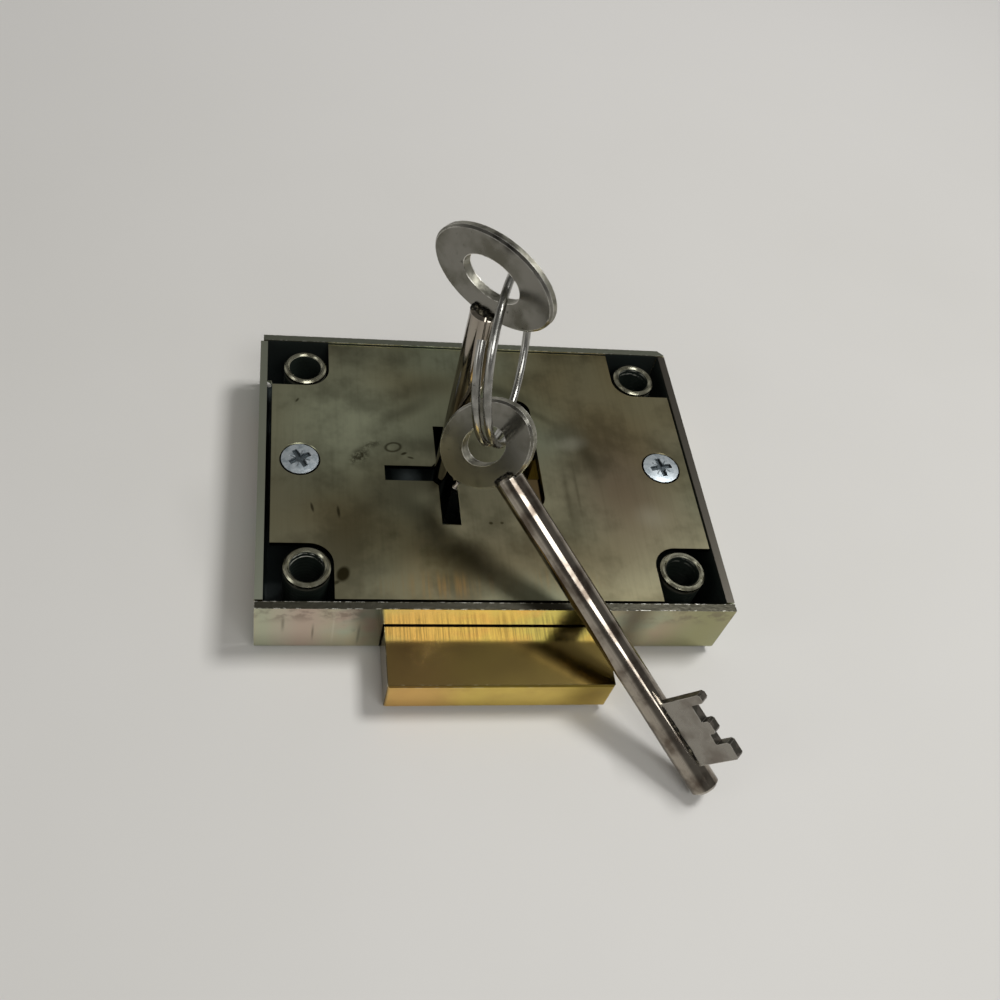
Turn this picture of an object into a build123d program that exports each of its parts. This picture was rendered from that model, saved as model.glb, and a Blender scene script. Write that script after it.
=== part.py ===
from build123d import *
import math
import os

# A surface-mounted lever safe lock lying on its back, with its two keys on a wire ring.
# Millimetres. X runs across the lock, Y away from the bolt, Z up from the back face.
# The origin is the middle of the back face. The bolt is thrown towards -Y.

# Case, a folded sheet tray
case_width = 90.0
case_depth = 68.0
case_height = 15.4
sheet = 1.5
bend_inside = 0.8
flap_gap = 0.35
flap_inset = 0.6
flap_clip = 1.3
bend_relief_radius = 1.1

# Cap plate, let in between the flaps
cap_gap_left = 1.05
cap_gap_right = 0.25
cap_gap_front = 0.85
cap_gap_back = 0.15
cap_sheet = 1.0
cap_drop = 0.5
notch_gap_side = 0.6
notch_gap_front = 1.05
notch_gap_back = 0.35
notch_corner = 4.6

# Fixing posts, hollow for the screws that hold the lock to a door
post_inset_x = 6.85
post_inset_y = 9.0
post_radius = 4.4
post_bore_radius = 3.3
post_mouth_chamfer = 0.35

# Cap screws and the pillars that they go into
screw_inset = 5.65
screw_y = 0.5
screw_head_radius = 3.7
screw_head_dome = 0.35
screw_shank_radius = 1.9
screw_shank_length = 8.0
countersink_gap = 0.4
driver_recess_span = 4.6
driver_recess_width = 1.1
driver_recess_depth = 0.75
driver_turn_left = 30
driver_turn_right = 12
pillar_radius = 3.2

# Keyhole, a cross that takes the key from four sides
key_x = -7.7
key_y = -2.45
keyhole_arm = 12.4
keyhole_width = 3.75
keyhole_bore = 3.4

# Obround window over the bolt stump
window_x = 8.5
window_width = 6.4
window_front_y = -10.8
window_back_y = 18.05

# Bolt
bolt_x = -0.3
bolt_width = 42.0
bolt_thickness = 8.0
bolt_throw = 12.5
bolt_head_inside = 6.8
bolt_edge = 0.35
bolt_play = 0.25
cutout_height = 10.1
cutout_end_play = 1.6
tail_thickness = 1.7
tail_left_x = -1.25
tail_corner = 2.0
tail_end_room = 0.5
talon_half_width = 2.1
talon_depth = 2.9
guide_x = 18.0
guide_wall = 1.5
guide_radius = 1.5

# Stump, riveted through the tail
stump_x = 8.8
stump_back_y = -2.7
stump_width = 4.8
stump_length = 6.0
stump_foot = 1.7
stump_cap_clearance = 0.5

# Levers
lever_count_below = 2
lever_count_above = 5
lever_below_thickness = 1.5
lever_gap = 0.12
pivot_x = 12.0
pivot_inset = 8.5
pivot_radius = 2.5
lever_boss_radius = 4.8
spacer_radius = 4.2
lever_left_x = -0.6
lever_waist_x = 3.2
lever_right_x = 15.5
lever_front_y = -14.0
lever_horn_y = 8.9
lever_shoulder_drop = 4.5
lever_neck_width = 6.5
gate_clearance = 0.25
pocket_end_room = 0.55
pocket_left_room = 1.1
pocket_right_room = 2.5
belly_clearance = 0.15
pocket_back_wall = 2.7
pocket_corner = 0.6
lever_corner = 0.8

# Lever springs and the post that they bear on
spring_strip = 0.5
spring_seat = 1.6
spring_margin = 0.1
spring_reach = 15.2
spring_bow = 0.9
spring_stop_x = 27.0
spring_stop_radius = 1.2
spring_stop_gap = 0.55

# Running and seating clearances
running = 0.05
seat = 0.02
stack_gap = 0.15
stack_top_room = 0.35
rivet_shoulder = 0.8
rivet_recess = 0.1

# Keys
shank_radius = 2.7
shank_tip_chamfer = 0.5
bow_width = 24.2
bow_height = 15.8
bow_thickness = 1.8
bow_hole_width = 11.5
bow_hole_height = 7.1
bow_edge = 0.4
bow_seat_depth = 1.0
bit_thickness = 1.8
bit_chamfer = 0.4
step_outer = 11.5
step_bolt = 8.8
step_middle = 10.2
step_low = 8.7
fixed_key_turn = -45.0
fixed_key_tip_z = 0.45
fixed_key_bow_z = 66.3
fixed_bit_floor_gap = 0.25

# Loose key, held up by the ring over the front rim, with its tip near the table
loose_bow_x = -4.45
loose_bow_y = -11.8
loose_bow_z = 35.7
loose_key_heading = 128.26
loose_key_reach = 73.5
loose_key_roll = -59.6
loose_key_tip_gap = 0.4
loose_tip_length = 4.9
loose_end_step = 3.4
loose_bolt_step = 2.1
loose_middle_step = 2.5
loose_low_step = 3.4
loose_top_step = 1.7

# Wire ring through both bows
ring_radius = 15.8
wire_radius = 0.73
ring_pitch = 1.95
ring_last_share = 0.75
ring_offset_x = 3.87
ring_offset_y = 3.67
ring_offset_z = -0.73
ring_heading = 337.5
ring_lean = 77.7
ring_start_angle = 42.7

# Heights and places that follow from the sizes above
floor_z = sheet
cap_top = case_height - cap_drop
cap_under = cap_top - cap_sheet
inside_x = case_width / 2 - sheet
inside_y = case_depth / 2 - sheet
cap_x = (cap_gap_left - cap_gap_right) / 2
cap_y = (cap_gap_front - cap_gap_back) / 2
cap_width = 2 * inside_x - cap_gap_left - cap_gap_right
cap_depth = 2 * inside_y - cap_gap_front - cap_gap_back
post_spacing_x = cap_width - 2 * post_inset_x
post_spacing_y = case_depth - 2 * post_inset_y
front_face_y = -case_depth / 2
bolt_low = floor_z + running
bolt_front_y = front_face_y - bolt_throw
bolt_head_back_y = front_face_y + bolt_head_inside
pivot_y = case_depth / 2 - pivot_inset
tail_back_y = pivot_y - spacer_radius - tail_end_room - bolt_throw
guide_y = tail_back_y - guide_wall - guide_radius - running - bolt_play
lever_shoulder_y = pivot_y - lever_shoulder_drop
pocket_back_y = lever_shoulder_y - pocket_back_wall
below_pitch = lever_below_thickness + lever_gap
lowest_lever_z = floor_z + stack_gap
tail_low = lowest_lever_z + lever_count_below * below_pitch + stack_gap / 2
tail_high = tail_low + tail_thickness
first_above_z = tail_high + stack_gap
above_pitch = (cap_under - stack_top_room + lever_gap - first_above_z) / lever_count_above
lever_above_thickness = above_pitch - lever_gap
stump_y = stump_back_y - stump_length / 2


def upright(radius, low, high, x=0.0, y=0.0):
    """A round bar standing from low to high."""
    return Pos(x, y, low) * Cylinder(radius, high - low, align=(Align.CENTER, Align.CENTER, Align.MIN))


def block(x0, x1, y0, y1, z0, z1):
    """A block between two corners."""
    return Pos((x0 + x1) / 2, (y0 + y1) / 2, (z0 + z1) / 2) * Box(x1 - x0, y1 - y0, z1 - z0)


def plate(outline, low, high):
    """A flat outline drawn at Z = 0, given its thickness between two heights."""
    return Pos(0, 0, low) * extrude(outline, high - low)


def corner_signs():
    """The four corners, as signs of X and Y."""
    return [(sx, sy) for sy in (1, -1) for sx in (-1, 1)]


def post_places():
    """Where the four fixing posts stand."""
    return [(cap_x + sx * post_spacing_x / 2, sy * post_spacing_y / 2) for sx, sy in corner_signs()]


def screw_places():
    """Where the two cap screws stand."""
    reach = cap_width / 2 - screw_inset
    return [(cap_x - reach, screw_y), (cap_x + reach, screw_y)]


def case_tray():
    """The folded tray: rounded bends, open corners, a bolt cut-out and the floor's holes."""
    outside = Pos(0, 0, case_height / 2) * Box(case_width, case_depth, case_height)
    outside = fillet(outside.faces().sort_by(Axis.Z)[0].edges(), bend_inside + sheet)
    hollow_height = case_height - sheet
    hollow = Pos(0, 0, sheet + hollow_height) * Box(2 * inside_x, 2 * inside_y, 2 * hollow_height)
    hollow = fillet(hollow.faces().sort_by(Axis.Z)[0].edges(), bend_inside)
    tray = outside - hollow
    # The side flaps stop short of the front and back flaps
    for sx, sy in corner_signs():
        wall_x = sx * case_width / 2
        wall_y = sy * inside_y
        tray -= block(
            min(wall_x - sx * (sheet + 1), wall_x + sx), max(wall_x - sx * (sheet + 1), wall_x + sx),
            min(wall_y, wall_y - sy * flap_gap), max(wall_y, wall_y - sy * flap_gap),
            floor_z + bend_inside, case_height + 1)
        # The relief hole is turned so that its seam keeps off the walls
        relief = Rot(0, 0, 30) * upright(bend_relief_radius, -1, floor_z + bend_inside + flap_gap)
        tray -= Pos(sx * inside_x, wall_y, 0) * relief
    # The back flap is a little short at its left end and clipped at its right
    tray -= block(
        -case_width / 2, -case_width / 2 + flap_inset, inside_y, inside_y + 2 * sheet, -1, case_height + 1)
    clip = Rot(0, 0, 45) * Box(flap_clip * math.sqrt(2), flap_clip * math.sqrt(2), 3 * case_height)
    tray -= Pos(case_width / 2, case_depth / 2, 0) * clip
    tray -= block(
        bolt_x - bolt_width / 2 - bolt_play, bolt_x + bolt_width / 2 + cutout_end_play,
        front_face_y - 1, front_face_y + sheet + bend_inside, floor_z, cutout_height)
    for x, y in post_places():
        tray -= upright(post_radius + seat, -1, floor_z + 1, x, y)
    tray -= upright(shank_radius + running, -1, floor_z + 1, key_x, key_y)
    for x, y, radius in rivet_places():
        tray -= upright(radius, -1, floor_z + 1, x, y)
    return tray


def rivet_places():
    """Holes in the floor for the riveted feet of the pillars, the pivot, the guide and the stop."""
    stop_y = spring_stop_y()
    feet = [(x, y, pillar_radius / 2) for x, y in screw_places()]
    feet.append((pivot_x, pivot_y, pivot_radius * rivet_shoulder))
    feet.append((guide_x, guide_y, guide_radius * rivet_shoulder))
    feet.append((spring_stop_x, stop_y, spring_stop_radius * rivet_shoulder))
    return feet


def footed_post(radius, high, x, y):
    """A post on the floor with a thinner foot riveted through it."""
    foot = upright(radius * rivet_shoulder - seat, rivet_recess, floor_z, x, y)
    return upright(radius, floor_z, high, x, y) + foot


def cap_outline():
    """The cap's outline with its four corner notches, each rounded round its post."""
    outline = Pos(cap_x, cap_y) * Rectangle(cap_width, cap_depth)
    for (sx, sy), (x, y) in zip(corner_signs(), post_places()):
        side = post_radius + notch_gap_side
        end = post_radius + (notch_gap_back if sy > 0 else notch_gap_front)
        width = side + 2 * post_inset_x
        depth = end + 2 * post_inset_y
        notch = RectangleRounded(width, depth, notch_corner)
        outline -= Pos(x + sx * (width / 2 - side), y + sy * (depth / 2 - end)) * notch
    return outline


def keyhole_outline():
    """A cross with a round middle."""
    cross = Rectangle(2 * keyhole_arm, keyhole_width) + Rectangle(keyhole_width, 2 * keyhole_arm)
    return Pos(key_x, key_y) * (cross + Circle(keyhole_bore))


def window_outline():
    """The obround window along the stump's travel."""
    length = window_back_y - window_front_y
    return Pos(window_x, (window_back_y + window_front_y) / 2) * SlotOverall(length, window_width, rotation=90)


def cap_plate():
    """The cap with its keyhole, window and countersunk screw holes."""
    cap = plate(cap_outline() - keyhole_outline() - window_outline(), cap_under, cap_top)
    top_radius = screw_head_radius + countersink_gap
    for x, y in screw_places():
        sink = Cone(top_radius - cap_sheet, top_radius, cap_sheet, align=(Align.CENTER, Align.CENTER, Align.MIN))
        cap -= Pos(x, y, cap_under) * sink
    return cap


def fixing_post(x, y):
    """A tube from the back face to the rim, with a broken edge at its mouth."""
    tube = upright(post_radius, 0, case_height) - upright(post_bore_radius, -1, case_height + 1)
    mouth = tube.faces().sort_by(Axis.Z)[-1].edges()
    tube = chamfer(mouth, post_mouth_chamfer)
    return Pos(x, y, 0) * tube


def cap_screw(x, y, recess_turn):
    """A countersunk screw with a low domed top and a cross recess."""
    head_low = cap_top - cap_sheet
    neck = screw_head_radius - cap_sheet
    cone = Cone(neck, screw_head_radius, cap_sheet, align=(Align.CENTER, Align.CENTER, Align.MIN))
    dome_radius = (screw_head_radius ** 2 + screw_head_dome ** 2) / (2 * screw_head_dome)
    dome = Pos(0, 0, cap_top + screw_head_dome - dome_radius) * Sphere(dome_radius)
    dome &= upright(screw_head_radius, cap_top, cap_top + 1)
    screw = Pos(0, 0, head_low) * cone + dome
    screw += upright(screw_shank_radius, head_low - screw_shank_length, head_low)
    recess_low = cap_top + screw_head_dome - driver_recess_depth
    recess = block(
        -driver_recess_span / 2, driver_recess_span / 2,
        -driver_recess_width / 2, driver_recess_width / 2, recess_low, cap_top + 1)
    screw -= recess + Rot(0, 0, 90) * recess
    return Pos(x, y, 0) * Rot(0, 0, recess_turn) * screw


def screw_pillar(x, y):
    """The tapped pillar under a cap screw."""
    foot = upright(pillar_radius / 2 - seat, rivet_recess, floor_z)
    tapped_from = cap_under - screw_shank_length - 1
    pillar = upright(pillar_radius, floor_z, cap_under) + foot
    pillar -= upright(screw_shank_radius + running, tapped_from, cap_under + 1)
    return Pos(x, y, 0) * pillar


def bolt():
    """The brass bolt: a thick head through the case front and a thin tail behind it."""
    left = bolt_x - bolt_width / 2
    right = bolt_x + bolt_width / 2
    head = block(left, right, bolt_front_y, bolt_head_back_y, bolt_low, bolt_low + bolt_thickness)
    nose = head.faces().sort_by(Axis.Y)[0].edges()
    head = chamfer(nose, bolt_edge)
    tail = block(tail_left_x, right, bolt_head_back_y - 1, tail_back_y, tail_low, tail_high)
    tail = fillet(tail.edges().filter_by(Axis.Z).group_by(Axis.Y)[-1], tail_corner)
    whole = head + tail
    # The talon is the notch that the key's bit drives
    talon_y = key_y + step_bolt * math.sin(math.radians(fixed_key_turn))
    whole -= block(
        tail_left_x - 1, tail_left_x + talon_depth, talon_y - talon_half_width, talon_y + talon_half_width,
        tail_low - 1, tail_high + 1)
    # The guide slot runs on the guide stud for the whole throw
    slot_radius = guide_radius + running
    slot_length = bolt_throw + 2 * slot_radius + 2 * bolt_play
    slot_y = guide_y - bolt_throw / 2
    slot = Pos(guide_x, slot_y) * SlotOverall(slot_length, 2 * slot_radius, rotation=90)
    whole -= plate(slot, tail_low - 1, tail_high + 1)
    whole -= block(
        stump_x - stump_width / 2, stump_x + stump_width / 2, stump_y - stump_length / 2,
        stump_y + stump_length / 2, tail_low - 1, tail_high + 1)
    return whole


def bolt_stump():
    """The upright block that passes the lever gates and shows in the cap's window."""
    stump = block(
        stump_x - stump_width / 2, stump_x + stump_width / 2, stump_y - stump_length / 2,
        stump_y + stump_length / 2, stump_foot, cap_top - stump_cap_clearance)
    return chamfer(stump.faces().sort_by(Axis.Z)[-1].edges(), 0.3)


def lever_levels():
    """Each lever's lower and upper height, from the floor up."""
    levels = []
    for index in range(lever_count_below):
        low = lowest_lever_z + index * below_pitch
        levels.append((low, low + lever_below_thickness))
    for index in range(lever_count_above):
        low = first_above_z + index * above_pitch
        levels.append((low, low + lever_above_thickness))
    return levels


def lever_steps():
    """The bit radius that lifts each lever, from the floor up."""
    return [step_outer] * lever_count_below + [step_middle] * 2 + [step_low] * 2 + [step_outer]


def spring_strip_outline(width):
    """The bowed strip of a lever spring, drawn from the lever's boss to its free end."""
    start = (pivot_x + lever_boss_radius - spring_seat, pivot_y)
    end = (pivot_x + spring_reach, pivot_y)
    middle = ((start[0] + end[0]) / 2, pivot_y - spring_bow)
    return trace(ThreePointArc(start, middle, end), width)


def spring_stop_y():
    """The spring post stands just behind the springs' free ends."""
    return pivot_y + spring_strip / 2 + spring_stop_gap + spring_stop_radius


def lever_outline(step):
    """A lever in plan: pivot boss, two pockets, the gate between them and the key's belly."""
    body = Pos((lever_waist_x + lever_right_x) / 2, (lever_front_y + lever_shoulder_y) / 2) * Rectangle(
        lever_right_x - lever_waist_x, lever_shoulder_y - lever_front_y)
    horn = Pos((lever_left_x + lever_right_x) / 2, (lever_front_y + lever_horn_y) / 2) * Rectangle(
        lever_right_x - lever_left_x, lever_horn_y - lever_front_y)
    neck_x = pivot_x - lever_boss_radius + lever_neck_width / 2
    neck = Pos(neck_x, (lever_shoulder_y + pivot_y) / 2) * Rectangle(
        lever_neck_width, pivot_y - lever_shoulder_y + 1)
    outline = body + horn + neck
    outline = fillet(outline.vertices().group_by(Axis.Y)[0], lever_corner)
    outline += Pos(pivot_x, pivot_y) * Circle(lever_boss_radius)
    left = stump_x - stump_width / 2
    right = stump_x + stump_width / 2
    front = stump_y - stump_length / 2
    back = stump_y + stump_length / 2
    gate_front = back + pocket_end_room
    gate_back = front + bolt_throw - pocket_end_room
    pockets = [(front - pocket_end_room, gate_front), (gate_back, pocket_back_y)]
    for low, high in pockets:
        pocket_left = left - pocket_left_room
        pocket_right = right + pocket_right_room
        outline -= Pos((pocket_left + pocket_right) / 2, (low + high) / 2) * RectangleRounded(
            pocket_right - pocket_left, high - low, pocket_corner)
    outline -= Pos(stump_x, (gate_front + gate_back) / 2) * Rectangle(
        stump_width + 2 * gate_clearance, gate_back - gate_front + 2)
    outline -= Pos(key_x, key_y) * Circle(step + belly_clearance)
    outline -= Pos(pivot_x, pivot_y) * Circle(pivot_radius + running)
    return outline


def lever(step, low, high):
    """One lever with the slot that holds its spring."""
    blank = plate(lever_outline(step), low, high)
    return blank - plate(spring_strip_outline(spring_strip + 2 * seat), low - 1, high + 1)


def lever_spring(low, high):
    """One lever's strip spring, a little narrower than the lever is thick."""
    return plate(spring_strip_outline(spring_strip), low + spring_margin, high - spring_margin)


def lever_spacer():
    """The collar that keeps the two groups of levers apart on the pivot."""
    levels = lever_levels()
    low = levels[lever_count_below - 1][1] + running
    high = levels[lever_count_below][0] - running
    collar = upright(spacer_radius, low, high) - upright(pivot_radius + seat, low - 1, high + 1)
    return Pos(pivot_x, pivot_y, 0) * collar


def bit(steps, low):
    """A stepped bit, drawn in the key's own frame: Z along the shank, X out along the bit.

    The steps are (height, radius) pairs from the tip end up.
    """
    points = [(0, low)]
    z = low
    for height, radius in steps:
        points.append((radius, z))
        z += height
        points.append((radius, z))
    points.append((0, z))
    profile = make_face(Polyline(*points, close=True))
    teeth = [vertex for vertex in profile.vertices() if is_tooth_corner(vertex, steps)]
    # Chamfers on one tooth never meet
    least_height = min(height for height, radius in steps)
    profile = chamfer(teeth, min(bit_chamfer, 0.49 * least_height))
    solid = extrude(Plane.XZ * profile, bit_thickness / 2, both=True)
    return solid - upright(shank_radius, low - 1, z + 1)


def is_tooth_corner(vertex, steps):
    """True on the outer corners of the steps that stand out beyond their neighbours."""
    low_radius = max(step_bolt, step_low)
    return vertex.X > low_radius + 0.5


def shank(length):
    """The round shank, slotted at its upper end for the bow."""
    bar = upright(shank_radius, 0, length)
    bar = chamfer(bar.faces().sort_by(Axis.Z)[0].edges(), shank_tip_chamfer)
    bar = chamfer(bar.faces().sort_by(Axis.Z)[-1].edges(), shank_tip_chamfer)
    seat_z = length - bow_seat_depth + bow_height / 2
    return bar - Pos(0, 0, seat_z) * bow_disc(bow_thickness + 2 * seat)


def bow_disc(thickness):
    """The bow's oval blank, standing in the XZ plane and centred on the origin."""
    return extrude(Plane.XZ * Ellipse(bow_width / 2, bow_height / 2), thickness / 2, both=True)


def bow(length):
    """The oval bow with its oval hole and rounded rims, seated in a shank of this length."""
    ring = bow_disc(bow_thickness)
    ring -= extrude(Plane.XZ * Ellipse(bow_hole_width / 2, bow_hole_height / 2), bow_thickness, both=True)
    rims = ring.edges().filter_by(GeomType.ELLIPSE)
    ring = chamfer(rims, bow_edge)
    return Pos(0, 0, length - bow_seat_depth + bow_height / 2) * ring


def bow_centre_above_tip(length):
    """How far the bow's centre is above the tip of a key with this shank length."""
    return length - bow_seat_depth + bow_height / 2


def shank_length(reach):
    """The shank length that puts the bow's centre this far above the tip."""
    return reach + bow_seat_depth - bow_height / 2


def fixed_key_steps():
    """The bit steps of the key in the lock, each as tall as the levers or tail that it meets."""
    levels = lever_levels()
    above = levels[lever_count_below][0] - stack_gap / 2
    bounds = [
        floor_z + fixed_bit_floor_gap,
        tail_low - stack_gap / 2,
        above,
        levels[lever_count_below + 2][0] - lever_gap / 2,
        levels[lever_count_below + 4][0] - lever_gap / 2,
        cap_under - fixed_bit_floor_gap,
    ]
    heights = [high - low for low, high in zip(bounds, bounds[1:])]
    return list(zip(heights, bit_radii())), bounds[0]


def loose_key_steps():
    """The bit steps of the loose key, from its tip end up."""
    heights = [loose_end_step, loose_bolt_step, loose_middle_step, loose_low_step, loose_top_step]
    return list(zip(heights, bit_radii()))


def bit_radii():
    """The bit's step radii from the tip end up: lever, bolt and three more lever steps."""
    return [step_outer, step_bolt, step_middle, step_low, step_outer]


def fixed_key_place():
    """The frame of the key in the lock, upright and part turned."""
    return Pos(key_x, key_y, fixed_key_tip_z) * Rot(0, 0, fixed_key_turn)


def loose_key_place():
    """The frame of the loose key: its bow on the ring, its shank sloping down to the table.

    The slope puts the lowest point of the shank's end one gap above the table.
    """
    height = loose_bow_z - loose_key_tip_gap
    rise = math.asin(height / math.hypot(loose_key_reach, shank_radius))
    rise -= math.atan2(shank_radius, loose_key_reach)
    heading = math.radians(loose_key_heading)
    along = Vector(
        math.cos(rise) * math.cos(heading), math.cos(rise) * math.sin(heading), math.sin(rise))
    tip = Vector(loose_bow_x, loose_bow_y, loose_bow_z) - along * loose_key_reach
    level = (Vector(1, 0, 0) - along * along.X).normalized()
    return Plane(origin=tip, x_dir=level, z_dir=along).location * Rot(0, 0, loose_key_roll)


def bow_middles():
    """The middles of the two bows."""
    fixed = fixed_key_place() * Pos(0, 0, fixed_key_bow_z - fixed_key_tip_z)
    loose = loose_key_place() * Pos(0, 0, loose_key_reach)
    return fixed.position, loose.position


def ring_frame():
    """The ring's plane: its normal from a heading in plan and a lean from the vertical."""
    heading = math.radians(ring_heading)
    lean = math.radians(ring_lean)
    normal = Vector(
        math.sin(lean) * math.cos(heading), math.sin(lean) * math.sin(heading), math.cos(lean))
    top = (Vector(0, 0, 1) - normal * normal.Z).normalized()
    fixed, loose = bow_middles()
    middle = (fixed + loose) * 0.5 + Vector(ring_offset_x, ring_offset_y, ring_offset_z)
    return Plane(origin=middle, x_dir=top, z_dir=normal)


def half_turn(index):
    """One half turn of the ring's middle line, tilted so that it climbs half a pitch."""
    side = 1 if index % 2 == 0 else -1
    start = Vector(side * ring_radius, 0, (index - 1.5) * ring_pitch / 2)
    end = Vector(-side * ring_radius, 0, (index - 0.5) * ring_pitch / 2)
    middle = (start + end) * 0.5 + Vector(0, side * ring_radius, 0)
    return ThreePointArc(start, middle, end)


def ring_path():
    """The wire's middle line: two half turns and most of a third."""
    third = half_turn(2)
    last = ThreePointArc(third @ 0, third @ (ring_last_share / 2), third @ ring_last_share)
    return Wire([half_turn(0).edge(), half_turn(1).edge(), last.edge()])


def key_ring():
    """The wire ring, nearly one and a half turns of round wire as one tube."""
    path = ring_path()
    section = Plane(origin=path @ 0, z_dir=path % 0) * Circle(wire_radius)
    tube = sweep(section, path=path)
    return ring_frame().location * Rot(0, 0, ring_start_angle) * tube


def ring_least_gap():
    """The least gap between neighbouring turns of the ring, measured on points."""
    path = ring_path()
    count = 240
    spots = [path @ (i / count) for i in range(count + 1)]
    length = path.length
    least = length
    for i in range(0, count + 1, 2):
        for j in range(i, count + 1, 2):
            if (j - i) / count * length > math.pi * ring_radius:
                least = min(least, (spots[i] - spots[j]).length)
    return least - 2 * wire_radius


def build():
    """Every named piece of the lock and its keys."""
    pieces = {"case_tray": case_tray(), "cap_plate": cap_plate()}
    post_names = ["back_left", "back_right", "front_left", "front_right"]
    for name, (x, y) in zip(post_names, post_places()):
        pieces["fixing_post_" + name] = fixing_post(x, y)
    recess_turns = [driver_turn_left, driver_turn_right]
    for name, (x, y), turn in zip(["left", "right"], screw_places(), recess_turns):
        pieces["cap_screw_" + name] = cap_screw(x, y, turn)
        pieces["screw_pillar_" + name] = screw_pillar(x, y)
    pieces["lever_pivot_post"] = footed_post(pivot_radius, cap_under - seat, pivot_x, pivot_y)
    pieces["lever_spacer"] = lever_spacer()
    pieces["bolt_guide_stud"] = footed_post(guide_radius, tail_high + stack_gap, guide_x, guide_y)
    pieces["spring_stop_post"] = footed_post(
        spring_stop_radius, cap_under - seat, spring_stop_x, spring_stop_y())
    pieces["bolt"] = bolt()
    pieces["bolt_stump"] = bolt_stump()
    for index, (step, (low, high)) in enumerate(zip(lever_steps(), lever_levels()), start=1):
        pieces["lever_%d" % index] = lever(step, low, high)
        pieces["lever_spring_%d" % index] = lever_spring(low, high)
    fixed_length = shank_length(fixed_key_bow_z - fixed_key_tip_z)
    steps, bit_z = fixed_key_steps()
    place = fixed_key_place()
    pieces["key_1_shank"] = place * shank(fixed_length)
    pieces["key_1_bow"] = place * bow(fixed_length)
    pieces["key_1_bit"] = place * bit(steps, bit_z - fixed_key_tip_z)
    loose_length = shank_length(loose_key_reach)
    place = loose_key_place()
    pieces["key_2_shank"] = place * shank(loose_length)
    pieces["key_2_bow"] = place * bow(loose_length)
    pieces["key_2_bit"] = place * bit(loose_key_steps(), loose_tip_length)
    pieces["key_ring"] = key_ring()
    return pieces


os.makedirs("parts", exist_ok=True)
for node, solid in build().items():
    export_step(solid, "parts/" + node + ".step")
print("least gap between the ring's turns: %.2f mm" % ring_least_gap())
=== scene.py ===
import bpy
import math
import numpy as np
from mathutils import Matrix, Vector


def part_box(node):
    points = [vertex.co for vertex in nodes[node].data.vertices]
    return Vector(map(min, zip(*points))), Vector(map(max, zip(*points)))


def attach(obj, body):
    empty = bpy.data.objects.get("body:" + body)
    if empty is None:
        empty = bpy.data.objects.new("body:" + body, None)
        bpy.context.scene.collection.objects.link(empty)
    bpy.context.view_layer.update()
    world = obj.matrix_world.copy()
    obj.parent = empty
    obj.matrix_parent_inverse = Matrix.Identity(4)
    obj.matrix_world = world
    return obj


# A lever safe lock on its back with its bolt thrown, one key in the keyhole and one on the ring.

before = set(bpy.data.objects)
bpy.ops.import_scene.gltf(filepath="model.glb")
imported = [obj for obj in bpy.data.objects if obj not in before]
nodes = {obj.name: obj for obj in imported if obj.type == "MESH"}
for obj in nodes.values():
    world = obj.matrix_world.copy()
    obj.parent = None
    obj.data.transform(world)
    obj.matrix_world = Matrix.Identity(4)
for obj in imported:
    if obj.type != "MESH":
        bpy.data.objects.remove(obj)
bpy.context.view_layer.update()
mm = 0.001
circle = 6.28   # once round in radians, near enough for a wave
smooth = {"interpolation_type": "SMOOTHSTEP"}   # settings that many shader nodes share
colors = {"data_type": "RGBA"}
print("frame loaded:", len(nodes), "nodes")


def hexColor(code):
    # sRGB hex to the linear red, green, blue and alpha that shaders take
    values = [int(code[i:i + 2], 16) / 255 for i in (1, 3, 5)]
    linear = [v / 12.92 if v <= 0.04045 else ((v + 0.055) / 1.055) ** 2.4 for v in values]
    return (*linear, 1.0)


def add(tree, kind, settings=None, links=None, out=None):
    # one shader node with its settings; each link is a number, a hex colour or the socket that feeds
    # the input; gives back the output that is named, or else the first one in use
    node = tree.nodes.new("ShaderNode" + kind)
    for name, value in (settings or {}).items():
        setattr(node, name, value)
    for key, value in (links or {}).items():
        if isinstance(value, bpy.types.NodeSocket):
            tree.links.new(value, node.inputs[key])
        else:
            node.inputs[key].default_value = hexColor(value) if isinstance(value, str) else value
    return node.outputs[out] if out else next((o for o in node.outputs if o.enabled), None)


def startMaterial(name, metallic, roughness):
    # an empty material with one principled shader, and its object coordinates
    material = bpy.data.materials.new(name)
    material.use_nodes = True
    tree = material.node_tree
    tree.nodes.clear()
    surface = add(tree, "BsdfPrincipled", None, {"Metallic": metallic, "Roughness": roughness})
    add(tree, "OutputMaterial", None, {"Surface": surface})
    return material, tree, surface.node, add(tree, "TexCoord", out="Object")


def named(start):
    # the CAD nodes whose names start so
    return [name for name in nodes if name.startswith(start)]


def middleOf(name):
    # X and Y of the middle of a CAD node's box
    low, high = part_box(name)
    return (low[0] + high[0]) / 2, (low[1] + high[1]) / 2


def wear(nodeNames, material):
    # puts one material on CAD nodes
    for name in nodeNames:
        mesh = nodes[name].data
        mesh.materials.clear()
        mesh.materials.append(material)


def overlap(tree, *masks):
    # where every one of several masks holds: their product
    whole = masks[0]
    for mask in masks[1:]:
        whole = add(tree, "Math", {"operation": "MULTIPLY"}, {0: whole, 1: mask})
    return whole


# The table: a pale matt board. Places and lengths are in metres.
tableLook = {
    "pale": "#d3d1cd", "shade": "#cdcbc6", "far": "#e3e1de", "backdrop": "#cfcdc8", "roughness": 0.62,
    "reach": 1.5, "cloud": 60 * mm,
    # painted light: the board is painted paler behind the lock, where the lamps light it less
    "brightFrom": 0.05, "brightTo": 0.30,   # the Y between which it grows paler behind the lock
    "fadeFrom": 0.32, "fadeTo": 1.1}        # how far off it starts to turn into the backdrop, and is it


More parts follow.
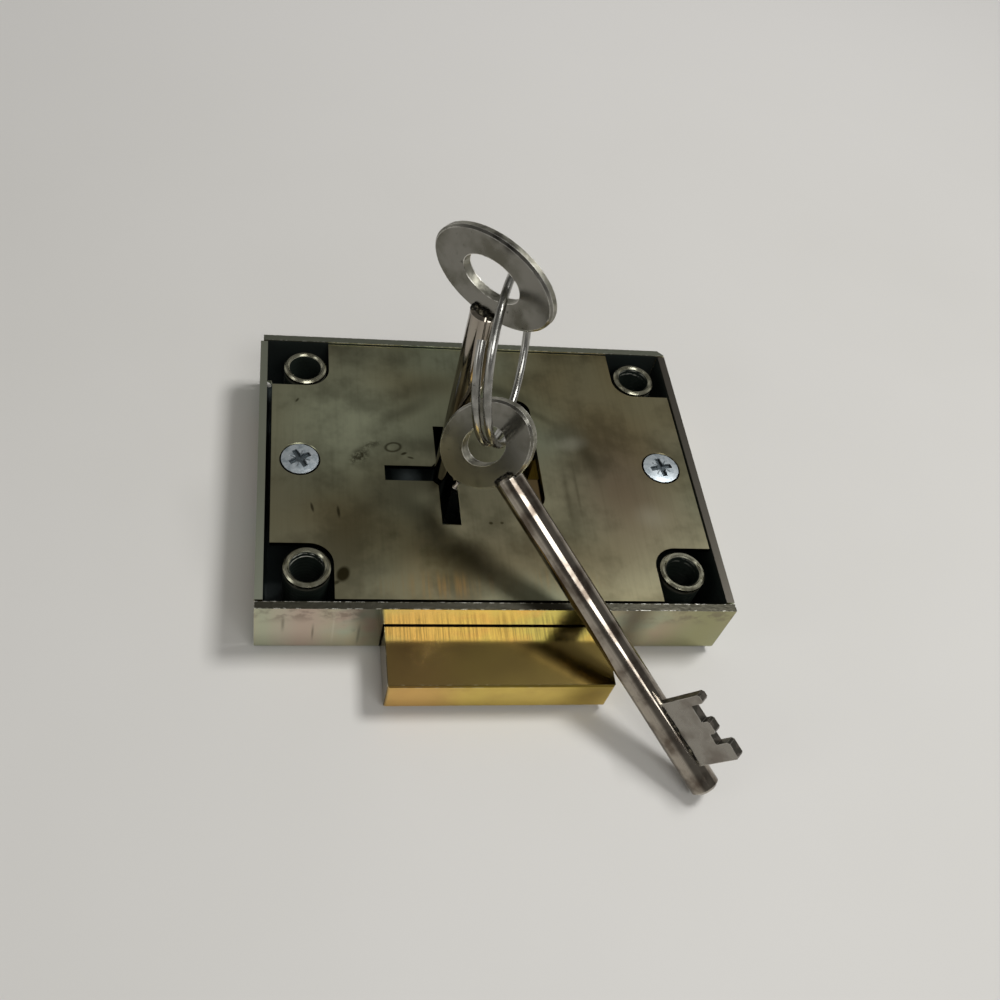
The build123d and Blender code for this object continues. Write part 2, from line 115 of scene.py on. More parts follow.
def makeTable(look):
    # one square, large enough to fill the picture
    reach = look["reach"]
    corners = [(-reach, -reach, 0), (reach, -reach, 0), (reach, reach, 0), (-reach, reach, 0)]
    mesh = bpy.data.meshes.new("table")
    mesh.from_pydata(corners, [], [(0, 1, 2, 3)])
    table = bpy.data.objects.new("table", mesh)
    bpy.context.scene.collection.objects.link(table)
    material, tree, shader, place = startMaterial("matt laminate board", 0.0, look["roughness"])
    # faint wide clouding, as on a wiped board
    cloud = add(tree, "TexNoise", None, {"Vector": place, "Scale": 1 / look["cloud"], "Detail": 3.0})
    tone = add(tree, "Mix", colors, {0: cloud, 6: look["pale"], 7: look["shade"]})
    # painted light: paler beyond the lock, where the lamps light the board less
    far = add(tree, "SeparateXYZ", None, {"Vector": place}, "Y")
    far = add(tree, "MapRange", smooth, {0: far, 1: look["brightFrom"], 2: look["brightTo"]})
    tone = add(tree, "Mix", colors, {0: far, 6: tone, 7: look["far"]})
    tree.links.new(tone, shader.inputs["Base Color"])
    # far off it runs into the backdrop: to the lens, in mirrors and through glass it glows in that colour
    away = add(tree, "VectorMath", {"operation": "LENGTH"}, {0: place}, "Value")
    fade = add(tree, "MapRange", smooth, {0: away, 1: look["fadeFrom"], 2: look["fadeTo"]})
    ray = add(tree, "LightPath").node
    seen = ray.outputs["Is Camera Ray"]
    for kind in ("Is Glossy Ray", "Is Transmission Ray"):
        seen = add(tree, "Math", {"operation": "MAXIMUM"}, {0: seen, 1: ray.outputs[kind]})
    glow = add(tree, "Emission", None, {"Color": look["backdrop"]})
    output = shader.outputs[0].links[0].to_node
    both = add(tree, "MixShader", None, {0: overlap(tree, fade, seen), 1: shader.outputs[0], 2: glow})
    tree.links.new(both, output.inputs["Surface"])
    mesh.materials.append(material)


# The room: how bright it is at the horizon, from the middle height on and overhead, and the heights
# between which that changes, as the sine of the angle above the horizon
roomLook = {
    "air": "#fdfbf6", "horizon": 0.60, "wall": 0.15, "zenith": 0.34,
    "wallFrom": 0.02, "wallFull": 0.45, "zenithFrom": 0.84, "zenithFull": 0.98}


def makeRoom(look):
    # pale at the horizon, dim above it so that level metal mirrors the dim part, and lighter overhead
    room = bpy.data.worlds.new("room")
    bpy.context.scene.world = room
    room.use_nodes = True
    tree = room.node_tree
    tree.nodes.clear()
    way = add(tree, "TexCoord", out="Generated")
    height = add(tree, "SeparateXYZ", None, {"Vector": way}, "Z")
    low = add(tree, "MapRange", smooth, {
        0: height, 1: look["wallFrom"], 2: look["wallFull"], 3: look["horizon"], 4: look["wall"]})
    high = add(tree, "MapRange", smooth, {
        0: height, 1: look["zenithFrom"], 2: look["zenithFull"], 3: 0.0, 4: look["zenith"] - look["wall"]})
    level = add(tree, "Math", {"operation": "ADD"}, {0: low, 1: high})
    air = add(tree, "Background", None, {"Color": look["air"], "Strength": level})
    add(tree, "OutputWorld", None, {"Surface": air})


# Three softboxes: where each stands, its width and depth, all in metres, and its power
lampLook = {
    "key softbox": {"place": (0.23, 0.05, 0.55), "size": (0.14, 0.14), "watts": 2.05},
    "front softbox": {"place": (0.10, -0.46, 0.62), "size": (0.42, 0.26), "watts": 1.5},
    "side softbox": {"place": (-0.55, -0.20, 0.30), "size": (0.20, 0.30), "watts": 0.3}}
lampAim = Vector((0, 0, 0.01))   # the point in the lock that all three are turned to


def makeLamp(name, look):
    lamp = bpy.data.lights.new(name, "AREA")
    lamp.shape = "RECTANGLE"
    lamp.size, lamp.size_y = look["size"]
    lamp.energy = look["watts"]
    box = bpy.data.objects.new(name, lamp)
    bpy.context.scene.collection.objects.link(box)
    box.location = look["place"]
    box.rotation_euler = (lampAim - box.location).to_track_quat("-Z", "Y").to_euler()


# The camera: where the lens stands and which way it looks, worked out from the perspective of the case.
# In degrees, heading is the turn to the right from straight ahead and dip is how far down it looks.
cameraLook = {
    "place": (-43.2513 * mm, -129.4794 * mm, 176.3319 * mm),
    "heading": 13.4086, "dip": 52.6962, "roll": 11.9048,
    "lens": 37.604, "sensor": 36, "shiftX": 0.0858, "shiftY": 0.0031, "nearest": 0.005}


def makeCamera(look):
    lens = bpy.data.cameras.new("camera")
    lens.sensor_width = look["sensor"]
    lens.lens = look["lens"]
    lens.shift_x = look["shiftX"]
    lens.shift_y = look["shiftY"]
    lens.clip_start = look["nearest"]
    camera = bpy.data.objects.new("camera", lens)
    bpy.context.scene.collection.objects.link(camera)
    heading, dip, roll = (math.radians(look[key]) for key in ("heading", "dip", "roll"))
    turn = Matrix.Rotation(-heading, 4, "Z") @ Matrix.Rotation(math.pi / 2 - dip, 4, "X")
    camera.matrix_world = Matrix.Translation(look["place"]) @ turn @ Matrix.Rotation(roll, 4, "Z")
    bpy.context.scene.camera = camera


makeTable(tableLook)
makeRoom(roomLook)
for name, look in lampLook.items():
    makeLamp(name, look)
makeCamera(cameraLook)
bpy.context.scene.view_settings.view_transform = "Standard"
print("stage, lights and camera set")


# What the finishes of this lock share
def clouds(tree, place, size, low=None, high=None, detail=3.0, rough=0.55,
           stretch=(1, 1, 1), move=(0, 0, 0)):
    # blots of tarnish about size metres across: stretched noise, cut to a soft step between low and high
    moved = add(tree, "Mapping", None, {"Vector": place, "Scale": stretch, "Location": move})
    noise = add(tree, "TexNoise", None, {
        "Vector": moved, "Scale": 1 / size, "Detail": detail, "Roughness": rough}, "Fac")
    if low is None:
        return noise
    return add(tree, "MapRange", smooth, {0: noise, 1: low, 2: high})


def coats(tree, color, *layers):
    # coats laid one over another: each is how much of it covers, and its colour
    for cover, coat in layers:
        color = add(tree, "Mix", colors, {0: cover, 6: color, 7: coat})
    return color


def relief(tree, shader, *waves):
    # bumps one on top of another, each with its height, its depth in metres and its strength
    normal = None
    for height, depth, strength in waves:
        links = {"Height": height, "Distance": depth, "Strength": strength}
        normal = add(tree, "Bump", None, links | ({"Normal": normal} if normal else {}))
    tree.links.new(normal, shader.inputs["Normal"])


def sharpEdges(tree, width, start=0.985, full=0.90):
    # 1 along the sharp edges: there the normal of a rounded copy turns away from the true one
    rounded = add(tree, "Bevel", {"samples": 6}, {"Radius": width})
    true = add(tree, "NewGeometry", out="Normal")
    alike = add(tree, "VectorMath", {"operation": "DOT_PRODUCT"}, {0: rounded, 1: true}, "Value")
    return add(tree, "MapRange", smooth, {0: alike, 1: start, 2: full})


def within(tree, place, axis, low, high, soft=0.06 * mm):
    # 1 from low to high along X, Y or Z, both in mm, with a step of soft metres to each side of both
    value = add(tree, "SeparateXYZ", None, {"Vector": place}, axis)
    above = add(tree, "MapRange", smooth, {0: value, 1: low * mm - soft, 2: low * mm + soft})
    below = add(tree, "MapRange", smooth, {0: value, 1: high * mm + soft, 2: high * mm - soft})
    return overlap(tree, above, below)


def fromAxis(tree, place, x, y):
    # how far a point is from the upright line at x and y, all in metres
    moved = add(tree, "Mapping", None, {"Vector": place, "Location": (-x, -y, 0), "Scale": (1, 1, 0)})
    return add(tree, "VectorMath", {"operation": "LENGTH"}, {0: moved}, "Value")


def spotMark(tree, place, x, y, long, wide, turn, soft=0.5, z=0.0, tall=1000.0):
    # one soft oval mark: the distance from its middle, measured in its own half lengths, faded out at 1
    moved = add(tree, "Mapping", {"vector_type": "TEXTURE"}, {
        "Vector": place, "Location": (x * mm, y * mm, z * mm), "Rotation": (0, 0, math.radians(turn)),
        "Scale": (long * mm, wide * mm, tall * mm)})
    away = add(tree, "VectorMath", {"operation": "LENGTH"}, {0: moved}, "Value")
    return add(tree, "MapRange", smooth, {0: away, 1: 1.0, 2: 1.0 - soft})


# The folded case: steel sheet with a yellow passivated zinc plate.
# The film is a few hundred nanometres thick, so the eye gets pale green and pink clouds over satin metal.
# Inside it is painted dark as shade, and its dullness is how much of the metal's mirror that painted shade
# takes away.
# The walls, faces and edges are a lowest and a highest X, Y or Z in mm.
# A wall mark is its X, its half width, its lowest and highest Z in mm, how strong it is and its colour.
caseLook = {
    "plate": "#bab295", "green": "#a9b39d", "pink": "#bb9d90", "stain": "#57503b",
    "strained": "#6a5a4e", "fleck": "#e8e6da", "inside": "#232b2a", "shadeDullness": 0.7,
    "leftRim": "#a6aa98", "rightRim": "#5f5b53", "frontRim": "#4b493f", "backRim": "#878a7b",
    "cloud": 17 * mm, "scratch": 0.16 * mm, "fleckLength": 0.40 * mm,
    "roughness": 0.19, "stainRough": 0.10, "rimRough": 0.16, "insideRough": 0.30,
    "leftWall": (-46.0, -43.4), "rightWall": (43.4, 46.0), "frontWall": (-35.0, -32.4),
    "backWall": (32.4, 35.0), "frontFace": (-36.0, -33.9), "cutOut": (-25.0, 23.0),
    "rim": (15.33, 16.0), "upperEdge": (15.0, 16.0), "underRim": (11.5, 15.3),
    "insideX": (-43.55, 43.55), "insideY": (-32.55, 32.55), "insideZ": (1.4, 15.2),
    "wallMarks": [
        (-38.0, 12.0, -9, 25, 0.95, "#bcb5a2"), (-43.5, 3.0, -9, 25, 0.65, "#b2baa0"),
        (-36.0, 5.0, -9, 25, 0.6, "#c0a698"), (-39.8, 0.5, 8, 12, 0.5, "#4d4937"),
        (-34.3, 0.35, 5, 9, 0.6, "#4d4937"), (-25.8, 0.45, 3, 9, 0.5, "#4d4937"),
        (-30.6, 0.3, 4, 12, 0.3, "#d8d4c0"), (26.0, 5.5, -9, 25, 0.85, "#5b5039"),
        (41.0, 17.0, -9, 25, 1.0, "#9c9a70")]}


def makeCaseMaterial(look):
    material, tree, shader, place = startMaterial(
        "yellow passivated zinc on folded sheet", 1.0, look["roughness"])
    green = clouds(tree, place, look["cloud"], 0.42, 0.60)
    pink = clouds(tree, place, look["cloud"] * 0.8, 0.52, 0.68, move=(0.3, 0.1, 0.2))
    stain = clouds(tree, place, 4 * mm, 0.62, 0.78, 5.0, 0.62, move=(0.7, 0.2, 0.5))
    color = coats(tree, look["plate"], (green, look["green"]), (overlap(tree, pink, 0.75), look["pink"]),
                  (overlap(tree, stain, 0.35), look["stain"]))
    # upright streaks of the plate's colours on the front wall: marks without an end along Y
    front = within(tree, place, "Y", *look["frontFace"])
    for x, half, foot, head, strength, ink in look["wallMarks"]:
        mark = spotMark(tree, place, x, -34.0, half, 900.0, 0, 1.0)
        height = within(tree, place, "Z", foot, head, 2 * mm)
        color = coats(tree, color, (overlap(tree, mark, front, height, strength), ink))
    # brown mottling under the front rim, either side of the cut-out, where the bend has strained the plate
    cutOut = within(tree, place, "X", *look["cutOut"], 2 * mm)
    beside = add(tree, "Math", {"operation": "SUBTRACT"}, {0: 1.0, 1: cutOut})
    mottle = clouds(tree, place, 3 * mm, 0.44, 0.62, 4.0, 0.6)
    underRim = within(tree, place, "Z", *look["underRim"], 2 * mm)
    color = coats(tree, color, (overlap(tree, mottle, front, beside, underRim, 0.55), look["strained"]))
    # the sheared rims, dull; painted highlights in rows of bright flecks along the torn edges of the front
    # and back ones
    rim = within(tree, place, "Z", *look["rim"])
    walls = {side: within(tree, place, axis, *look[side + "Wall"]) for side, axis in
             (("left", "X"), ("right", "X"), ("front", "Y"), ("back", "Y"))}
    for side, wall in walls.items():
        color = coats(tree, color, (overlap(tree, rim, wall), look[side + "Rim"]))
    edge = sharpEdges(tree, 0.28 * mm)
    broken = clouds(tree, place, look["fleckLength"], 0.50, 0.60, 2.0, 0.5, (0.6, 1.0, 1.0))
    long = add(tree, "Math", {"operation": "ADD"}, {0: walls["front"], 1: walls["back"]})
    upper = within(tree, place, "Z", *look["upperEdge"])
    color = coats(tree, color, (overlap(tree, edge, broken, long, upper), look["fleck"]))
    # painted shade on the inside, below the rim; with little mirror left, the depth of the notches stays dark
    # grey, not black
    inner = overlap(tree, *(within(tree, place, axis, *look["inside" + axis]) for axis in "XYZ"))
    color = coats(tree, color, (inner, look["inside"]))
    tree.links.new(color, shader.inputs["Base Color"])
    film = add(tree, "Math", {"operation": "MULTIPLY_ADD"}, {0: inner, 1: -look["shadeDullness"], 2: 1.0})
    tree.links.new(film, shader.inputs["Metallic"])
    stained = look["roughness"] + look["stainRough"]
    rough = add(tree, "MapRange", None, {0: stain, 3: look["roughness"], 4: stained})
    rough = add(tree, "Math", {"operation": "MULTIPLY_ADD"}, {0: rim, 1: look["rimRough"], 2: rough})
    rough = add(tree, "Math", {"operation": "MULTIPLY_ADD"}, {0: inner, 1: look["insideRough"], 2: rough})
    tree.links.new(rough, shader.inputs["Roughness"])
    # scratches that run up and down the walls, a slight orange peel, and torn metal on the long rims
    scratch = clouds(tree, place, look["scratch"], stretch=(1, 1, 0.03), rough=0.6)
    peel = clouds(tree, place, 2.2 * mm)
    torn = overlap(tree, clouds(tree, place, 0.35 * mm, stretch=(0.5, 0.5, 1)), rim, long)
    relief(tree, shader, (scratch, 0.004 * mm, 0.4), (peel, 0.02 * mm, 0.2), (torn, 0.10 * mm, 0.6))
    return material


wear(["case_tray"], makeCaseMaterial(caseLook))

# The cap: the same plate, tarnished olive and brown by handling, with small marks where tools and keys
# hit it. Its faces, the keyhole's middle and the darker ring round it are in mm.
# A tone is a wide soft patch: x, y, half length, half width in mm, turn in degrees, strength and colour.
# A mark is x, y, half length, half width in mm, turn in degrees, softness and, but for the ovals, strength.
capLook = {
    "plate": "#a29d80", "green": "#98a087", "brown": "#97885f", "sheenGold": "#c59a5a", "stain": "#37321f",
    "pale": "#d6d3bd", "gapShade": "#2b2a1f", "shine": "#e9e7d8", "cloud": 34 * mm, "roughness": 0.30,
    "edgeFace": (13.0, 14.78), "frontEdge": (-33.5, -31.7),
    "keyhole": (-7.7, -2.45), "ringOutside": 22, "ringInside": 8, "ringStrength": 0.3,
    "ovalOutside": (-18.1, 4.1, 2.1, 1.5, 15, 0.25), "ovalInside": (-18.1, 4.1, 1.5, 1.0, 15, 0.3),
    "tones": [
        (-29.0, 12.0, 27.0, 24.0, 0, 0.85, "#d0d5b4"), (-4.0, 29.0, 30.0, 9.0, 0, 0.6, "#b0b89d"),
        (28.0, -4.0, 18.0, 26.0, 0, 0.85, "#806f59"), (12.0, -22.0, 26.0, 12.0, 0, 0.70, "#74664a"),
        (-8.0, -24.0, 14.0, 9.0, 0, 0.60, "#6d6140"), (17.0, 7.0, 8.0, 6.0, 20, 0.50, "#a9ae97")],
    "darkMarksAndReflection": [
        (-15.0, 14.0, 9.0, 3.0, 30, 1.0, 0.5), (6.0, 20.0, 12.0, 3.0, -25, 1.0, 0.5),
        (22.5, 2.0, 2.6, 9.0, 10, 1.0, 0.45), (-34.5, -11.3, 1.6, 0.40, 102, 0.7, 0.8),
        (-29.5, -12.2, 1.9, 0.42, 96, 0.7, 0.8), (-37.3, 16.0, 0.9, 0.35, 60, 0.7, 0.75),
        (-29.0, -26.3, 2.1, 1.5, 70, 0.45, 1.0), (-30.4, -28.2, 1.1, 0.5, 25, 0.6, 0.8),
        (-16.0, 2.5, 0.9, 0.42, 25, 0.6, 0.9), (-14.7, 1.5, 0.9, 0.35, -15, 0.6, 0.8),
        (0.0, -14.3, 0.55, 0.45, 0, 0.6, 0.8), (2.2, -14.2, 0.5, 0.4, 0, 0.6, 0.7),
        # the first mark below, in front of the keyhole, is the loose key's painted dark reflection
        (-5.8, -21.1, 9.0, 4.0, 10, 1.0, 0.40), (16.4, -7.8, 1.0, 11.0, 0, 1.0, 0.35),
        (18.6, -6.0, 0.6, 8.0, 0, 1.0, 0.3), (-12.0, 20.0, 13.0, 5.0, 20, 1.0, 0.35),
        (13.0, 14.0, 9.0, 1.6, -35, 1.0, 0.35)],
    "smudges": [(-25.0, 1.5, 3.6, 2.2, 50, 0.8, 0.8), (-22.5, 4.6, 3.0, 1.2, 20, 0.8, 0.6)],
    "paleMarks": [(19.5, 6.3, 4.6, 2.8, 15, 0.9, 0.30), (33.0, -12.0, 5.0, 4.5, 0, 1.0, 0.18)],
    # the sheen marks are painted golden sheen near the front edge
    "sheenMarks": [(-11.2, -28.8, 17.0, 4.5, 0, 1.0, 0.50), (12.0, -27.0, 12.0, 4.0, 0, 1.0, 0.3)]}


def makeCapMaterial(look):
    material, tree, shader, place = startMaterial("tarnished zinc cap", 1.0, look["roughness"])
    pale = clouds(tree, place, look["cloud"], 0.36, 0.64, 1.0, 0.4, move=(0.1, 0.6, 0.0))
    brown = clouds(tree, place, look["cloud"] * 0.7, 0.38, 0.74, 1.5, 0.4, move=(0.9, 0.2, 0.0))
    grime = clouds(tree, place, 2.6 * mm, 0.50, 0.90, 4.0)
    # darker round the keyhole: fully within 8 mm of its middle, fading out by 22 mm
    x, y = look["keyhole"]
    worn = add(tree, "MapRange", smooth, {
        0: fromAxis(tree, place, x * mm, y * mm), 1: look["ringOutside"] * mm, 2: look["ringInside"] * mm,
        3: 0.0, 4: look["ringStrength"]})
    color = coats(tree, look["plate"], (pale, look["green"]), (overlap(tree, brown, 0.7), look["brown"]),
                  (overlap(tree, grime, 0.12), look["stain"]), (worn, look["stain"]))
    for x, y, long, wide, turn, strength, ink in look["tones"]:
        tone = spotMark(tree, place, x, y, long, wide, turn, 1.0)
        color = coats(tree, color, (overlap(tree, tone, strength), ink))
    # smoky patches with ragged rims, and thin upright streaks where the sheet was drawn
    smoke = clouds(tree, place, 12 * mm, 0.42, 0.68, 4.0, 0.58, (1, 0.9, 1), (0.3, 0.9, 0.0))
    streak = clouds(tree, place, 0.7 * mm, 0.40, 0.75, 3.0, 0.6, (1, 0.035, 1))
    color = coats(tree, color, (overlap(tree, smoke, 0.45), look["stain"]),
                  (overlap(tree, streak, 0.09), look["stain"]))
    speckle = clouds(tree, place, 0.9 * mm, 0.40, 0.58, 4.0, 0.65)
    # pale marks, painted golden sheen in streaks, dark stains with the loose key's painted dark reflection,
    # smudges
    for key, ink, share in (("paleMarks", look["pale"], 1.0), ("sheenMarks", look["sheenGold"], streak),
                            ("darkMarksAndReflection", look["stain"], 1.0), ("smudges", look["stain"], speckle)):
        for x, y, long, wide, turn, soft, strength in look[key]:
            mark = spotMark(tree, place, x, y, long, wide, turn, soft)
            color = coats(tree, color, (overlap(tree, mark, strength, share), ink))
    # an oval ring struck into the plate: the band between two ovals
    outer = spotMark(tree, place, *look["ovalOutside"])
    inner = spotMark(tree, place, *look["ovalInside"])
    struck = add(tree, "Math", {"operation": "SUBTRACT"}, {0: outer, 1: inner})
    # the plate's own edge below its top face is painted dark as shade, and the corner of its front edge gets
    # a painted highlight where it is also worn bright
    below = within(tree, place, "Z", *look["edgeFace"])
    rubbedGlint = overlap(tree, sharpEdges(tree, 0.15 * mm), within(tree, place, "Y", *look["frontEdge"]),
                     clouds(tree, place, 1.6 * mm, 0.42, 0.56))
    color = coats(tree, color, (overlap(tree, struck, 0.75), look["stain"]), (below, look["gapShade"]),
                  (rubbedGlint, look["shine"]))
    tree.links.new(color, shader.inputs["Base Color"])
    # drawing marks of the sheet, 0.25 mm apart and long along Y, and wide shallow waves
    drawn = clouds(tree, place, 0.25 * mm, stretch=(1, 0.03, 1), rough=0.6)
    waves = clouds(tree, place, 14 * mm, detail=1.0)
    relief(tree, shader, (drawn, 0.006 * mm, 0.45), (waves, 0.03 * mm, 0.3), (struck, 0.02 * mm, 0.3))
    return material


wear(["cap_plate"], makeCapMaterial(capLook))
print("case and cap finished")

# The bolt: extruded brass brushed along the throw. Its top and its left face are painted darker as shade,
# its front is plain yellow brass, and its nicked edges carry painted glints. The faces and stretches are
# a lowest and a highest X, Y or Z in mm.
boltLook = {
    "brass": "#d8bd58", "dark": "#c2a54c", "oxide": "#75623a", "top": "#8b7852", "side": "#5a5747",
    "nickGlint": "#fff6d8", "red": "#d59a62", "line": 0.16 * mm, "roughness": 0.16,
    "topFace": (9.45, 11.45), "shadedLeftFace": (-26.15, -21.15), "nearCase": (-37.4, 40), "reddened": (-24, -10)}


def makeBrassMaterial(name, look):
    material, tree, shader, place = startMaterial(name, 1.0, look["roughness"])
    cloud = clouds(tree, place, 9 * mm, 0.35, 0.75)
    spot = clouds(tree, place, 1.1 * mm, 0.62, 0.84, 5.0, 0.65)
    color = coats(tree, look["brass"], (cloud, look["dark"]), (overlap(tree, spot, 0.4), look["oxide"]))
    if "top" in look:
        # reddened on its left, painted darker as shade on top and on its left face, scored where it slides
        # through the cut-out, and with painted glints along its nicked edges
        red = within(tree, place, "X", *look["reddened"], 6 * mm)
        top = within(tree, place, "Z", *look["topFace"])
        side = within(tree, place, "X", *look["shadedLeftFace"])
        nearCase = within(tree, place, "Y", *look["nearCase"], 1.6 * mm)
        scored = clouds(tree, place, 0.38 * mm, 0.44, 0.58, 3.0, 0.65, (1, 0.02, 0.2))
        broken = clouds(tree, place, 0.6 * mm, 0.54, 0.60, 2.0, 0.5, (0.5, 1, 1))
        nickGlints = overlap(tree, sharpEdges(tree, 0.35 * mm), broken)
        color = coats(tree, color, (overlap(tree, red, 0.5), look["red"]),
                      (overlap(tree, top, 0.7), look["top"]),
                      (overlap(tree, scored, top, nearCase, 0.6), look["oxide"]),
                      (overlap(tree, side, 0.8), look["side"]), (nickGlints, look["nickGlint"]))
    tree.links.new(color, shader.inputs["Base Color"])
    # brushing: fine lines that run along Y, crowded and loose by turns
    fine = clouds(tree, place, look["line"], detail=2.0, rough=0.6, stretch=(1, 0.02, 0.25))
    wide = clouds(tree, place, 1.1 * mm, detail=2.0, rough=0.6, stretch=(1, 0.015, 0.3))
    relief(tree, shader, (fine, 0.010 * mm, 0.5), (wide, 0.010 * mm, 0.3))
    return material


wear(["bolt"], makeBrassMaterial("brushed extruded brass", boltLook))
leverLook = {"brass": "#6e5c30", "dark": "#4f4020", "oxide": "#2b2414", "line": 0.2 * mm, "roughness": 0.28}
wear(["lever_%d" % i for i in range(1, 8)], makeBrassMaterial("oiled stamped brass lever", leverLook))
stumpLook = {"brass": "#5e4f36", "dark": "#43361f", "oxide": "#2b2416", "line": 0.3 * mm, "roughness": 0.36}
wear(["bolt_stump"], makeBrassMaterial("dull milled brass", stumpLook))
print("brass finished")

# Where the two keys lie, in mm and degrees. Fixed is the key that stands in the keyhole: the foot of its
# middle line, how far up that its bow starts and which way its bit points. Loose is the other one: the
# bow's end of its middle line, the length from there to the tip, its heading and roll, the gap under the
# tip and how far up from the tip its bow starts. Half is half the thickness of bow and bit.
keySizes = {
    "shankRadius": 2.7, "half": 0.9, "bitLow": 5.3, "bitHigh": 17.5,
    "fixedFoot": (-7.7, -2.45, 0.45), "fixedTop": 58.95, "fixedTurn": -45.0,
    "looseBow": (-4.45, -11.8, 35.7), "looseReach": 73.5, "looseHeading": 128.26, "looseRoll": -59.6,
    "looseTipGap": 0.4, "looseTop": 66.6}


def fixedFrame(s):
    # the foot of the middle line and three directions: along it, out to the bit, and across
    turn = math.radians(s["fixedTurn"])
    out = np.array((math.cos(turn), math.sin(turn), 0.0))
    along = np.array((0.0, 0.0, 1.0))
    return np.array(s["fixedFoot"]), along, out, np.cross(along, out)


def looseFrame(s):
    # the same: the slope that puts the tip's rim one gap above the table, then the roll about the shank
    bow = np.array(s["looseBow"])
    rise = math.asin((bow[2] - s["looseTipGap"]) / math.hypot(s["looseReach"], s["shankRadius"]))
    rise -= math.atan2(s["shankRadius"], s["looseReach"])
    heading = math.radians(s["looseHeading"])
    along = np.array((math.cos(rise) * math.cos(heading), math.cos(rise) * math.sin(heading), math.sin(rise)))
    level = np.array((1.0, 0.0, 0.0)) - along * along[0]
    level /= np.linalg.norm(level)
    across = np.cross(along, level)
    roll = math.radians(s["looseRoll"])
    out = math.cos(roll) * level + math.sin(roll) * across
    return bow - along * s["looseReach"], along, out, np.cross(along, out)


# The keys: mild steel with thin nickel. The shanks are drawn and bright, the stamped bows tumbled and dull,
# with painted highlights along their edges, where they are also worn bright. Nickel gives a warm grey
# mirror, darker where it has worn through.
# A mark is a dark spot on a bow: x, y, z and half its size, in mm.
keyLook = {
    "shank": {
        "plate": "#a39b8f", "worn": "#655b51", "fleck": "#3b362c", "rubAndGlint": "#e6e2d8", "size": 5 * mm,
        "roughness": 0.06},
    "bow": {
        "plate": "#83817a", "worn": "#67655b", "fleck": "#2b2924", "rubAndGlint": "#f2f0e8", "size": 6 * mm,
        "roughness": 0.20, "cut": "#979589", "cutRoughness": 0.40,
        "marks": [(-9.0, -2.4, 74.4, 1.7), (-7.0, -4.4, 74.2, 2.1), (-6.0, -10.8, 38.4, 1.8)]},
    "bit": {
        "plate": "#96928a", "worn": "#7d766e", "fleck": "#4a3d3c", "rubAndGlint": "#b5b2a9", "size": 5 * mm,
        "roughness": 0.26, "cut": "#57544d", "cutRoughness": 0.36, "marks": []}}


def makeNickelMaterial(name, look, along=(1, 1, 1), across=None):
    # across is the direction through a flat stamping: faces that look along it are plate, and the rest
    # is its cut edge
    material, tree, shader, place = startMaterial(name, 1.0, look["roughness"])
    cloud = clouds(tree, place, look["size"], 0.42, 0.70, 3.0, 0.55, along)
    pit = clouds(tree, place, 0.8 * mm, 0.64, 0.76, 4.0, 0.62)
    color = coats(tree, look["plate"], (cloud, look["worn"]), (overlap(tree, pit, 0.8), look["fleck"]))
    rough = add(tree, "MapRange", None, {0: cloud, 3: look["roughness"], 4: look["roughness"] + 0.10})
    if across is not None:
        normal = add(tree, "TexCoord", out="Normal")
        facing = add(tree, "VectorMath", {"operation": "DOT_PRODUCT"}, {0: normal, 1: tuple(across)}, "Value")
        facing = add(tree, "Math", {"operation": "ABSOLUTE"}, {0: facing})
        cut = add(tree, "MapRange", smooth, {0: facing, 1: 0.75, 2: 0.45})
        blot = clouds(tree, place, 1.7 * mm, 0.46, 0.60)
        color = coats(tree, color, (cut, look["cut"]), (overlap(tree, cut, blot, 0.7), look["worn"]))
        rough = add(tree, "Mix", None, {0: cut, 2: rough, 3: look["cutRoughness"]})
        for x, y, z, half in look["marks"]:
            mark = spotMark(tree, place, x, y, half, half, 0, 0.9, z, half)
            color = coats(tree, color, (overlap(tree, mark, 0.9), look["fleck"]))
    if "rubAndGlint" in look:
        # painted highlights along the sharp edges, where they are also worn bright
        rubbedGlint = overlap(tree, sharpEdges(tree, 0.30 * mm), clouds(tree, place, 2.0 * mm, 0.36, 0.52))
        color = coats(tree, color, (rubbedGlint, look["rubAndGlint"]))
    tree.links.new(color, shader.inputs["Base Color"])
    tree.links.new(rough, shader.inputs["Roughness"])
    # fine handling scratches 0.3 mm apart, and the slight waves of a tumbled part
    scratch = clouds(tree, place, 0.3 * mm, rough=0.6, stretch=along)
    waves = clouds(tree, place, 3 * mm, detail=2.0)
    relief(tree, shader, (scratch, 0.005 * mm, 0.35), (waves, 0.02 * mm, 0.25))
    return material


bright = "bright nickel on drawn steel"
wear(["key_1_shank"], makeNickelMaterial(bright, keyLook["shank"], (1, 1, 0.15)))
wear(["key_2_shank"], makeNickelMaterial(bright + ", loose key", keyLook["shank"]))
for body, where in (("key_1", fixedFrame(keySizes)), ("key_2", looseFrame(keySizes))):
    for part, made in (("bow", "stamped"), ("bit", "milled")):
        kind = "tumbled nickel on %s steel, %s" % (made, body)
        wear([body + "_" + part], makeNickelMaterial(kind, keyLook[part], across=where[3]))

# The ring: drawn steel wire, thinly plated, so a clean grey mirror with faint die lines along it
wireLook = {"plate": "#a5a49f", "worn": "#7d7c77", "fleck": "#45443e", "size": 4 * mm, "roughness": 0.20}
wear(["key_ring"], makeNickelMaterial("plated drawn wire", wireLook))
print("keys and ring finished")

# The four fixing tubes: turned free-cutting steel with the same yellow plate, painted dark inside as shade.
# Radius is the bore's and top the tube's upper end, in mm. Thread sets how close the turned grooves are:
# the wave comes out nearly twice as wide, 1.1 mm. Lit is the heights in mm where the thread at the mouth
# gets painted glints, and glint is how much of it does in each tube.
postLook = {
    "rim": "#aeac98", "shade": "#86836e", "bore": "#28302a", "shine": "#e4e4d6", "shadeDullness": 0.7,
    "thread": 0.55 * mm, "roughness": 0.24, "boreRough": 0.2, "radius": 3.3, "top": 15.3, "lit": (12.9, 14.8),
    "glint": {"back_left": 0.0, "back_right": 0.5, "front_left": 1.0, "front_right": 0.3}}


